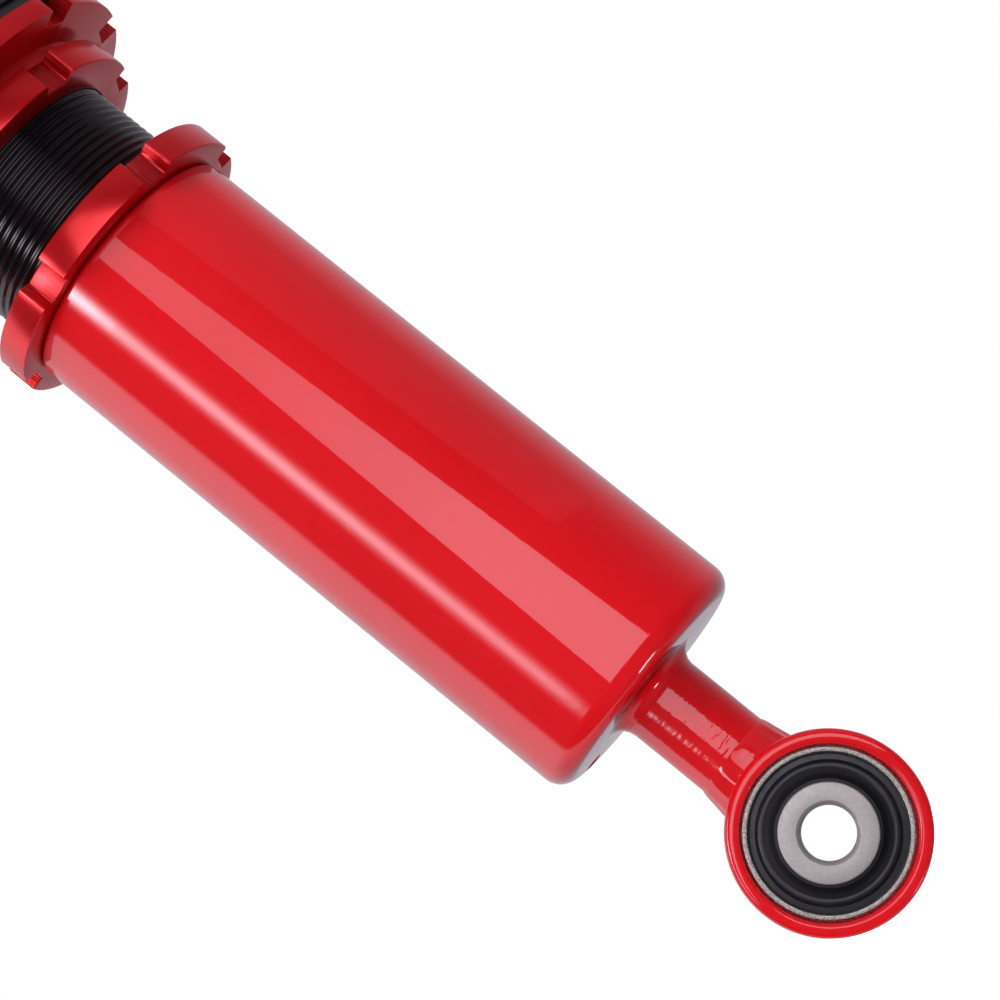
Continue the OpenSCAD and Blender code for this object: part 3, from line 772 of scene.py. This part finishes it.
def make_spring_perch():
    """Threaded spring perch with eight notches in its flange."""
    rim = 42.5 * MM
    bore = radius("threaded_body") + RUN_GAP
    hub = 31.5 * MM
    bottom = low("spring_perch")
    flange = bottom + 3.3 * MM
    flange_top = low("spring_isolator")
    top = high("spring_perch")
    outline = [
        (bore, bottom), (hub, bottom), (hub, flange), (rim, flange), (rim, flange_top),
        (SPIGOT, flange_top), (SPIGOT, top), (bore, top)
    ]
    perch = slotted(
        "perch", outline, rim, notches=8, phase=PERCH_NOTCH, depth=5 * MM, floor=6.8 * MM, mouth=7.6 * MM
    )
    place(perch, "spring_perch", ["spring_perch"], "red_anodised")


# ---------- damper body and spring ----------

def make_threaded_body():
    """Body tube with a rounded helical thread above a plain lower end."""
    crest = radius("threaded_body")
    depth = 0.9 * MM
    neck = crest - depth
    bore = 23 * MM
    bottom = low("threaded_body")
    top = high("threaded_body")
    thread_bottom = bottom + 60 * MM
    thread_top = top - 4 * MM
    chamfer = 0.4 * MM
    lead = 1 * MM
    outline = [
        (neck, thread_top + depth), (neck, top - chamfer), (neck - chamfer, top), (bore, top), (bore, bottom),
        (crest - lead, bottom), (crest, bottom + lead)
    ]
    body = threaded_part(
        "damper_thread", outline, crest, depth, pitch=2 * MM, bottom=thread_bottom, top=thread_top,
        columns=120, fade=2 * MM
    )
    place(body, "damper_body", ["threaded_body"], "black_coated_steel")


def coil_lift(turns, total, length, wire):
    """Height of the wire's centre after some turns: closed end coils, open middle."""
    end_gap = 0.4 * MM
    closed = wire + end_gap
    first = 0.8 * MM
    middle = total - 2
    if turns < 1:
        return first + closed * turns
    if turns > 1 + middle:
        return length - first - closed * (total - turns)
    return first + closed + (length - 2 * first - 2 * closed) * (turns - 1) / middle


def make_coil_spring():
    """Compression spring with closed and ground ends."""
    bottom = low("coil_spring")
    length = high("coil_spring") - bottom
    outer = radius("coil_spring")
    inner = 31 * MM
    wire = outer - inner
    turns = 7
    steps = 60
    sides = 24
    points = []
    for i in range(turns * steps + 1):
        angle = TURN * i / steps
        lift = coil_lift(i / steps, turns, length, wire)
        for k in range(sides):
            around = TURN * (k + 0.5) / sides
            r = inner + wire / 2 * (1 + math.cos(around))
            h = min(max(lift + wire / 2 * math.sin(around), 0), length)
            points.append((r * math.cos(angle), r * math.sin(angle), bottom + h))
    faces = [tuple(range(sides)), tuple(turns * steps * sides + k for k in reversed(range(sides)))]
    for i in range(turns * steps):
        for k in range(sides):
            a = i * sides + k
            b = i * sides + (k + 1) % sides
            faces.append((a, a + sides, b + sides, b))
    spring = add_mesh("spring_coil", points, faces, sharp=45)
    place(spring, "spring_carrier", ["coil_spring"], "spring_black")
    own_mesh(spring)


def make_isolator(name, node, body):
    """Flat nylon ring between the spring and its seat."""
    bottom = low(node)
    top = high(node)
    outer = radius(node)
    inner = 30.9 * MM
    outline = rounded([(inner, bottom), (outer, bottom), (outer, top), (inner, top)], 0.5 * MM)
    place(add_turned(name, outline, 160), body, [node], "black_nylon")


def make_dust_boot():
    """Bellows boot clamped on the bump stop's flange."""
    bottom = low("dust_boot")
    top = high("dust_boot")
    outer = radius("dust_boot") - 0.1 * MM
    collar = 21.7 * MM
    collar_height = 6 * MM
    wall = 1.2 * MM
    skirt = 10 * MM
    skirt_fold = 2 * MM
    folds = 13
    fold_depth = 1.4 * MM
    fold_height = (top - bottom - skirt - collar_height) / folds
    taper_from = 0.72
    outside = [(outer - fold_depth, bottom), (outer - fold_depth, bottom + skirt - skirt_fold)]
    for i in range(folds):
        for k in (0, 1):
            share = (i + k / 2) / folds
            narrowing = max(0, share - taper_from) / (1 - taper_from) * (outer - collar)
            outside.append((outer - k * fold_depth - narrowing, bottom + skirt + (i + k / 2) * fold_height))
    outside += [(collar, top - collar_height), (collar, top)]
    inside = [(r - wall, h) for r, h in reversed(outside)]
    boot = add_turned("bellows_boot", rounded(outside + inside, 0.9 * MM, steps=4), 160, sharp=60)
    place(boot, "rod_assembly", ["dust_boot"], "boot_rubber")


def make_boot_clip():
    """Band clip with a crimped ear round the boot's collar."""
    bottom = low("boot_clip")
    top = high("boot_clip")
    outer = radius("boot_clip")
    inner = outer - 1 * MM
    ear_height = 1.4 * MM
    ear_angle = 0.045
    outline = rounded([(inner, bottom), (outer, bottom), (outer, top), (inner, top)], 0.2 * MM)

    def ear(angle, r, h):
        lift = ear_height * math.exp(-(math.remainder(angle, TURN) / ear_angle) ** 2)
        return r + lift if r > (inner + outer) / 2 else r + 0.6 * lift
    place(add_turned("boot_band", outline, 320, ear), "rod_assembly", ["boot_clip"], "zinc_steel")


def make_upper_seat():
    """Turned spring seat under the top mount."""
    bore = 6.05 * MM
    hub = 15 * MM
    shoulder = 20 * MM
    rim = radius("upper_spring_seat")
    inside = SPIGOT - 4 * MM
    bottom = low("upper_spring_seat")
    under = high("upper_isolator")
    hub_bottom = high("dust_boot")
    flange_top = under + 5 * MM
    top = high("upper_spring_seat")
    outline = rounded([
        (bore, hub_bottom), (hub, hub_bottom, 0.8 * MM), (hub, under, 1.5 * MM), (inside, under, 1.5 * MM),
        (inside, bottom), (SPIGOT, bottom, 0.8 * MM), (SPIGOT, under, 0.3 * MM), (rim, under, 0.7 * MM),
        (rim, flange_top, 1.2 * MM), (shoulder, flange_top, 2 * MM), (hub, top, 0.8 * MM), (bore, top)
    ], 0.4 * MM, steps=4)
    place(add_turned("upper_seat", outline, 192), "rod_assembly", ["upper_spring_seat"], "red_anodised")


# ---------- top mount ----------

def stud_spots():
    """Places of the three studs round the axis."""
    circle = 46 * MM
    return [(circle * math.cos(a), circle * math.sin(a)) for a in (TURN * (0.25 + i / 3) for i in range(3))]


def make_top_plate():
    """Round plate with the bearing's boss, a circlip groove and three stud holes."""
    outer = radius("top_plate")
    bottom = low("top_plate")
    boss_top = high("top_plate")
    plate_top = high("bearing_race")
    plate_bottom = plate_top - 6 * MM
    seat = low("bearing_race")
    boss = 27 * MM
    race = 20 * MM
    lip = race - 2.5 * MM
    groove = race + 1.2 * MM
    groove_bottom = plate_top + 0.2 * MM
    groove_top = groove_bottom + 1.3 * MM
    outline = rounded([
        (lip, bottom), (boss, bottom, 1 * MM), (boss, plate_bottom, 1.5 * MM), (outer, plate_bottom, 1 * MM),
        (outer, plate_top, 1 * MM), (boss, plate_top, 1.2 * MM), (boss, boss_top, 0.8 * MM), (race, boss_top),
        (race, groove_top, 0), (groove, groove_top, 0), (groove, groove_bottom, 0), (race, groove_bottom, 0),
        (race, seat, 0), (lip, seat)
    ], 0.4 * MM, steps=4)
    plate = add_turned("mount_plate", outline, 192)
    drill(plate, stud_spots(), hole=4.4 * MM, bottom=plate_bottom - MM, top=plate_top + MM)
    place(plate, "top_mount", ["top_plate"], "red_anodised")


def make_studs():
    """Three pressed studs with helical threads."""
    bottom = low("mount_studs")
    top = high("mount_studs")
    shaft = 4 * MM
    shoulder = 4.4 * MM
    head = 7 * MM
    head_top = bottom + 3 * MM
    chamfer = 0.8 * MM
    shoulder_top = high("bearing_race")
    thread_bottom = shoulder_top + 2 * MM
    thread_top = top - 1.2 * MM
    outline = [
        (shaft - 0.9 * MM, top), (0, top), (0, bottom), (head - chamfer, bottom), (head, bottom + chamfer),
        (head, head_top), (shoulder, head_top), (shoulder, shoulder_top), (shaft, shoulder_top)
    ]
    for i, (x, y) in enumerate(stud_spots()):
        stud = threaded_part(
            f"stud_{i + 1}", outline, shaft, depth=0.6 * MM, pitch=1.25 * MM, bottom=thread_bottom,
            top=thread_top, columns=48, fade=1 * MM
        )
        stud.data.transform(Matrix.Translation((x, y, 0)))
        place(stud, "top_mount", ["mount_studs"], "zinc_steel")


def make_piston_rod():
    """Chromed rod with a threaded, drilled end."""
    bottom = low("piston_rod")
    top = high("piston_rod")
    shaft = radius("piston_rod")
    screw = 6 * MM
    bore = 2 * MM
    stem = 5 * MM
    step = high("dust_boot")
    shoulder = low("topout_bumper")
    thread_bottom = low("rod_nut") - 3 * MM
    thread_top = top - 0.9 * MM
    outline = [
        (screw - 0.8 * MM, top), (bore + 0.4 * MM, top), (bore, top - 0.4 * MM), (bore, bottom),
        (stem - 0.6 * MM, bottom), (stem, bottom + 0.6 * MM), (stem, shoulder), (shaft, shoulder),
        (shaft, step - 0.5 * MM), (shaft - 0.5 * MM, step), (screw, step)
    ]
    rod = threaded_part(
        "rod", outline, screw, depth=0.7 * MM, pitch=1.25 * MM, bottom=thread_bottom, top=thread_top,
        columns=72, fade=1 * MM
    )
    place(rod, "rod_assembly", ["piston_rod"], "chromed_rod")


def make_rod_nut():
    """Flanged lock nut with a hexagon and a plain collar."""
    bottom = low("rod_nut")
    top = high("rod_nut")
    hexagon_top = bottom + 8.5 * MM
    bore = 6.02 * MM
    flat = 9.5 * MM
    corner = flat / math.cos(math.pi / 6)
    crown = 0.9 * MM
    collar = 8.4 * MM
    chamfer = 0.8 * MM

    def hexagon(angle, r, h):
        off = math.remainder(angle, math.pi / 3)
        return min(r, flat / math.cos(off)) if r > flat else r
    outline = [
        (bore, bottom), (flat - 0.1 * MM, bottom), (corner, bottom + crown), (corner, hexagon_top - crown),
        (flat - 0.2 * MM, hexagon_top), (collar, hexagon_top), (collar, top - chamfer),
        (collar - chamfer, top), (bore, top)
    ]
    nut = add_turned("mount_nut", outline, 240, hexagon, sharp=24)
    place(nut, "rod_assembly", ["rod_nut"], "zinc_steel")


def make_knob():
    """Fluted adjuster knob with a plain top and a bore for the needle."""
    bottom = low("adjuster_knob")
    top = high("adjuster_knob")
    outer = radius("adjuster_knob")
    bore = 1.6 * MM
    bore_top = bottom + 9 * MM
    grip_top = top - 3 * MM
    flutes = 16
    flute_depth = 0.62 * MM
    flute_half = 1.05 * MM

    def flute(angle, r, h):
        if r < outer - 1.2 * MM or h > grip_top:
            return r
        off = math.remainder(angle, TURN / flutes) * outer
        return r - max(0.0, flute_depth * (1 - (off / flute_half) ** 2))
    outline = rounded([
        (bore, bottom), (outer, bottom, 0.5 * MM), (outer, grip_top, 0), (outer, grip_top + 0.02 * MM, 0),
        (outer, top, 0.9 * MM), (0, top, 0), (0, bore_top, 0), (bore, bore_top, 0)
    ], 0.3 * MM, steps=4)
    knob = add_turned("knob", outline, 384, flute, sharp=35)
    place(knob, "adjuster_knob", ["adjuster_knob"], "red_anodised")


# ---------- CAD nodes whose shape is kept ----------

KEPT = {
    "pressure_tube": "honed_steel",
    "base_plug": "machined_aluminium",
    "base_plug_seal": "seal_rubber",
    "rod_guide": "machined_aluminium",
    "guide_seal": "seal_rubber",
    "rod_seal": "seal_rubber",
    "rod_wiper": "seal_rubber",
    "gland_nut": "black_coated_steel",
    "floating_piston": "machined_aluminium",
    "floating_piston_seal": "seal_rubber",
    "topout_bumper": "seal_rubber",
    "compression_shims": "shim_steel",
    "piston": "sintered_piston",
    "piston_band": "bronze_band",
    "rebound_shims": "shim_steel",
    "piston_nut": "zinc_steel",
    "bump_stop": "bump_foam",
    "lower_spacer": "machined_aluminium",
    "bearing_ball": "chromed_ball",
    "upper_spacer": "machined_aluminium",
    "bearing_race": "black_coated_steel",
    "race_circlip": "black_coated_steel",
    "adjuster_needle": "machined_aluminium",
}


def finish_kept_nodes():
    """Gives each CAD node that stays its detailed finish."""
    sharp = 25
    for node, finish in KEPT.items():
        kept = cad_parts[node]
        for slot in kept.material_slots:
            slot.material = FINISH[finish]
        kept.data.shade_smooth()
        kept.data.set_sharp_from_angle(angle=math.radians(sharp))


# ---------- studio ----------

def make_floor():
    """Plain pale round floor under the eye."""
    size = 420 * MM
    sides = 96
    angles = [TURN * i / sides for i in range(sides)]
    points = [(size * math.cos(a), size * math.sin(a), cad_box[0].z) for a in angles]
    floor = add_mesh("floor", points, [tuple(range(sides))])
    white = (1, 1, 1, 1)
    pale = (0.8, 0.8, 0.8, 1)
    paint = Paint("floor_white", Base_Color=pale, Roughness=0.9, Emission_Color=white, Emission_Strength=1.0)
    floor.data.materials.append(paint.material)
    floor.visible_glossy = False
    floor.visible_diffuse = False


# brightness of the backdrop by azimuth in degrees: dark round the camera, brightest towards -Y, pale behind
BACKDROP = [
    (-180, 0.57), (-150, 0.68), (-128, 0.88), (-110, 1.4), (-97, 1.65), (-92, 0.08),
    (-60, 0.04), (88, 0.1), (110, 0.27), (125, 0.44), (180, 0.57)
]
# downwards it dims to this share, between these two Z parts of a direction
UNDER_SHARE = 0.6
UNDER_SPAN = (-0.42, -0.1)
LIGHT_TINT = (1.0, 0.965, 1.07)
LIGHT_CENTRE = Vector((0, 0, 120 * MM))


def make_world():
    """White backdrop: plain white to the camera, and as light it follows BACKDROP."""
    world = bpy.data.worlds.new("studio")
    bpy.context.scene.world = world
    world.use_nodes = True
    tree = world.node_tree
    tree.nodes.clear()

    def node(kind, **settings):
        made = tree.nodes.new(kind)
        for key, value in settings.items():
            setattr(made, key, value)
        return made

    seen = node("ShaderNodeBackground")
    seen.inputs["Color"].default_value = (1, 1, 1, 1)
    lit = node("ShaderNodeBackground")
    lit.inputs["Color"].default_value = (*LIGHT_TINT, 1)
    direction = node("ShaderNodeTexCoord")
    parts = node("ShaderNodeSeparateXYZ")
    azimuth = node("ShaderNodeMath", operation="ARCTAN2")
    share = node("ShaderNodeMapRange")
    share.inputs["From Min"].default_value = -math.pi
    share.inputs["From Max"].default_value = math.pi
    ramp = node("ShaderNodeValToRGB")
    brightest = max(level for _, level in BACKDROP)
    keys = ramp.color_ramp.elements
    keys.remove(keys[1])
    for i, (degrees, level) in enumerate(BACKDROP):
        key = keys[0] if i == 0 else keys.new((degrees + 180) / 360)
        key.position = (degrees + 180) / 360
        key.color = (*[level / brightest] * 3, 1)
    strength = node("ShaderNodeMath", operation="MULTIPLY")
    under = node("ShaderNodeMapRange")
    under.inputs["From Min"].default_value = UNDER_SPAN[0]
    under.inputs["From Max"].default_value = UNDER_SPAN[1]
    under.inputs["To Min"].default_value = UNDER_SHARE * brightest
    under.inputs["To Max"].default_value = brightest
    path = node("ShaderNodeLightPath")
    mix = node("ShaderNodeMixShader")
    out = node("ShaderNodeOutputWorld")
    for source, target in (
        (direction.outputs["Generated"], parts.inputs[0]),
        (parts.outputs["Y"], azimuth.inputs[0]),
        (parts.outputs["X"], azimuth.inputs[1]),
        (azimuth.outputs[0], share.inputs["Value"]),
        (share.outputs["Result"], ramp.inputs["Fac"]),
        (parts.outputs["Z"], under.inputs["Value"]),
        (ramp.outputs["Color"], strength.inputs[0]),
        (under.outputs["Result"], strength.inputs[1]),
        (strength.outputs[0], lit.inputs["Strength"]),
        (path.outputs["Is Camera Ray"], mix.inputs["Fac"]),
        (lit.outputs[0], mix.inputs[1]),
        (seen.outputs[0], mix.inputs[2]),
        (mix.outputs[0], out.inputs["Surface"]),
    ):
        tree.links.new(source, target)


def heading(azimuth, elevation):
    """Unit vector towards an azimuth and elevation in radians."""
    level = math.cos(elevation)
    return Vector((math.cos(azimuth) * level, math.sin(azimuth) * level, math.sin(elevation)))


def add_panel(name, corners, glow, glossy=True):
    """A soft light panel, unseen by the camera.

    corners are its lower left, lower right, upper right and upper left as (azimuth, elevation) in degrees
    from LIGHT_CENTRE. glow(across, up) is its radiance, with both from 0 to 1.
    """
    distance = 1.1
    across_steps = 24
    up_steps = 60
    points = []
    levels = []
    for j in range(up_steps + 1):
        for i in range(across_steps + 1):
            u = i / across_steps
            v = j / up_steps
            weights = ((1 - u) * (1 - v), u * (1 - v), u * v, (1 - u) * v)
            a, e = (math.radians(sum(w * corner[k] for w, corner in zip(weights, corners))) for k in (0, 1))
            points.append(LIGHT_CENTRE + distance * heading(a, e))
            levels += [glow(u, v)] * 3 + [1]
    row = across_steps + 1
    faces = [(j * row + i, j * row + i + 1, (j + 1) * row + i + 1, (j + 1) * row + i)
             for j in range(up_steps) for i in range(across_steps)]
    mesh = bpy.data.meshes.new(name)
    mesh.from_pydata(points, [], faces)
    mesh.color_attributes.new("glow", "FLOAT_COLOR", "POINT").data.foreach_set("color", levels)
    panel = bpy.data.objects.new(name, mesh)
    bpy.context.scene.collection.objects.link(panel)
    black = (0, 0, 0, 1)
    paint = Paint(name, Base_Color=black, Roughness=1, Specular_IOR_Level=0, Emission_Color=(*LIGHT_TINT, 1))
    level = paint.node("ShaderNodeAttribute", attribute_name="glow")
    paint.link(level.outputs["Fac"], paint.shader.inputs["Emission Strength"])
    mesh.materials.append(paint.material)
    panel.visible_camera = False
    panel.visible_shadow = False
    panel.visible_glossy = glossy


def between(x, stops):
    """Straight-line value at x through (x, value) stops."""
    for (x0, y0), (x1, y1) in zip(stops, stops[1:]):
        if x <= x1:
            return y0 + (y1 - y0) * max(0, x - x0) / (x1 - x0)
    return stops[-1][1]


def front_glow(u, v):
    """Radiance of the front panel: even low down, weaker in its upper part."""
    return between(v, [(0.3, 3.1), (0.6, 2.0)])


def strip_glow(u, v):
    """Radiance of the strip: soft across, stronger upwards, hottest where the tube's upper rim mirrors it."""
    middle = 0.52
    softness = 0.21
    rise = [(0.04, 0.6), (0.07, 5.2), (0.35, 8), (0.45, 8), (0.47, 10), (0.49, 20), (0.54, 20), (1, 3)]
    return between(v, rise) * math.exp(-((u - middle) / softness) ** 2)


def even_glow(level):
    """The same radiance all over a panel."""
    return lambda u, v: level


def make_lights():
    """Panels, a strip and a small lamp that the gloss mirrors, and four fills that no reflection shows."""
    add_panel("front_panel", [(-17.5, -4.5), (36, -4.5), (6, 32), (-6.5, 32)], front_glow)
    add_panel("strip_panel", [(-64, -4), (-36, -4), (-36, 50), (-64, 50)], strip_glow)
    add_panel("side_panel", [(58, 4), (100, 4), (100, 40), (30, 40)], even_glow(0.25))
    add_panel("glint", [(28, -83.5), (20, -82), (58, -72), (63, -72)], even_glow(60))
    add_panel("low_fill", [(-75, -15), (10, -15), (10, 15), (-75, 15)], even_glow(2.0), glossy=False)
    add_panel("high_fill", [(10, 30), (90, 30), (90, 60), (10, 60)], even_glow(4.2), glossy=False)
    add_panel("under_fill", [(-60, -80), (60, -80), (60, -30), (-60, -30)], even_glow(2.3), glossy=False)
    add_panel("right_fill", [(70, -25), (150, -25), (150, 25), (70, 25)], even_glow(0.9), glossy=False)


def make_camera():
    """Camera level with the eye, looking a little up, rolled so that the damper runs down to the right."""
    lens = bpy.data.cameras.new("camera")
    lens.lens = 110.55
    lens.sensor_width = 36
    lens.clip_start = 0.01
    lens.clip_end = 50
    camera = bpy.data.objects.new("camera", lens)
    bpy.context.scene.collection.objects.link(camera)
    position = Vector((665.79, 1.64, -0.25)) * MM
    look = heading(math.radians(179.153), math.radians(8.632))
    roll = math.radians(-51.222)
    level = look.cross(Vector((0, 0, 1))).normalized()
    right = level * math.cos(roll) + level.cross(look) * math.sin(roll)
    turn = Matrix((right, right.cross(look), -look)).transposed()
    camera.matrix_world = Matrix.Translation(position) @ turn.to_4x4()
    bpy.context.scene.camera = camera
    bpy.context.scene.view_settings.view_transform = "Standard"


make_bracket_tube()
make_stem_weld()
make_eye_stem()
make_eye_weld()
make_eye_ring()
make_bush_shell()
make_bush_rubber()
make_bush_sleeve()
make_lock_ring("lock_ring_lower", "lower_lock_ring", LOWER_NOTCH)
make_lock_ring("lock_ring_upper", "upper_lock_ring", UPPER_NOTCH)
make_spring_perch()
make_threaded_body()
make_coil_spring()
make_isolator("isolator_lower", "spring_isolator", "spring_carrier")
make_isolator("isolator_upper", "upper_isolator", "rod_assembly")
make_dust_boot()
make_boot_clip()
make_upper_seat()
make_top_plate()
make_studs()
make_piston_rod()
make_rod_nut()
make_knob()
finish_kept_nodes()
make_floor()
make_world()
make_lights()
make_camera()
